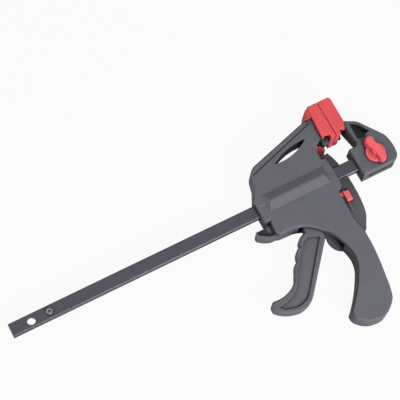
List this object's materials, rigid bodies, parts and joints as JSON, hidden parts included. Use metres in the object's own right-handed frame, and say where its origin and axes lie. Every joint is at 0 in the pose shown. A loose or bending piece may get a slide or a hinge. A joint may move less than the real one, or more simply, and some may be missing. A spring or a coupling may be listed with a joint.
{
  "type": "quick release bar clamp",
  "caption": "One handed quick release bar clamp: a sliding jaw with a pistol grip and trigger, a fixed jaw with a wing knob, a flat steel bar and soft red jaw pads.",
  "frame": {"origin": "centre of the round hole in the bar's free end, halfway through the bar's thickness", "axes": "+X along the bar towards the fixed jaw, +Y towards the tips of the jaws, +Z through the thickness towards the side with the wing knob"},
  "size_m": [0.2877, 0.1521, 0.0253],
  "materials": {
    "bar_steel": "satin black",
    "bright_steel": "plain zinc",
    "spring_steel": "oiled",
    "grey_body": "fine moulded texture",
    "grey_lever": "fine moulded texture",
    "red_pad": "soft satin",
    "red_control": "satin"
  },
  "bodies": {
    "bar": {"slide_bar": "bar_steel", "bar_stop_pin": "bright_steel", "fixed_jaw": "grey_body", "fixed_jaw_pad": "red_pad"},
    "carriage": {"near_housing": "grey_body", "far_housing": "grey_body", "housing_screws": "bright_steel", "moving_jaw_pad": "red_pad", "trigger_pin": "bright_steel", "drive_spring": "spring_steel", "brake_spring": "spring_steel"},
    "lever": {"trigger": "grey_lever"},
    "drive": {"drive_plate_front": "bright_steel", "drive_plate_rear": "bright_steel"},
    "brake": {"brake_plate": "bright_steel"},
    "button": {"release_button": "red_control"},
    "knob": {"lock_knob": "red_control", "lock_spring": "spring_steel"},
    "lock": {"lock_pin": "bright_steel"}
  },
  "joints": [
    {"name": "jaw_slide", "type": "slide", "parent": "bar", "child": "carriage", "axis": [-1, 0, 0], "range_m": [0, 0.15]},
    {"name": "trigger_squeeze", "type": "hinge", "parent": "carriage", "child": "lever", "pos_m": [0.19452, -0.017, 0], "axis": [0, 0, 1], "range_deg": [0, 26], "stiffness_Nm_per_rad": 0.3, "springref_deg": -8.59, "deforming": ["drive_spring"]},
    {"name": "drive_plate_slide", "type": "slide", "parent": "carriage", "child": "drive", "axis": [-1, 0, 0], "range_m": [0, 0.0039]},
    {"name": "brake_release", "type": "hinge", "parent": "carriage", "child": "brake", "pos_m": [0.2165, 0.0102, 0], "axis": [0, 0, -1], "range_deg": [0, 8], "stiffness_Nm_per_rad": 0.06, "springref_deg": -17.19, "deforming": ["brake_spring"]},
    {"name": "release_button_press", "type": "slide", "parent": "carriage", "child": "button", "axis": [-1, 0, 0], "range_m": [0, 0.0033]},
    {"name": "lock_knob_turn", "type": "hinge", "parent": "bar", "child": "knob", "pos_m": [0.2588, 0, 0], "axis": [0, 0, 1], "range_deg": [0, 90]},
    {"name": "lock_pin_lift", "type": "slide", "parent": "bar", "child": "lock", "axis": [0, 0, 1], "range_m": [0, 0.0056], "deforming": ["lock_spring"]}
  ],
  "couplings": [
    {"joint": "drive_plate_slide", "follows": "trigger_squeeze", "m_per_rad": 0.0084},
    {"joint": "release_button_press", "follows": "brake_release", "m_per_rad": 0.0229},
    {"joint": "lock_knob_turn", "follows": "lock_pin_lift", "rad_per_m": 280}
  ]
}
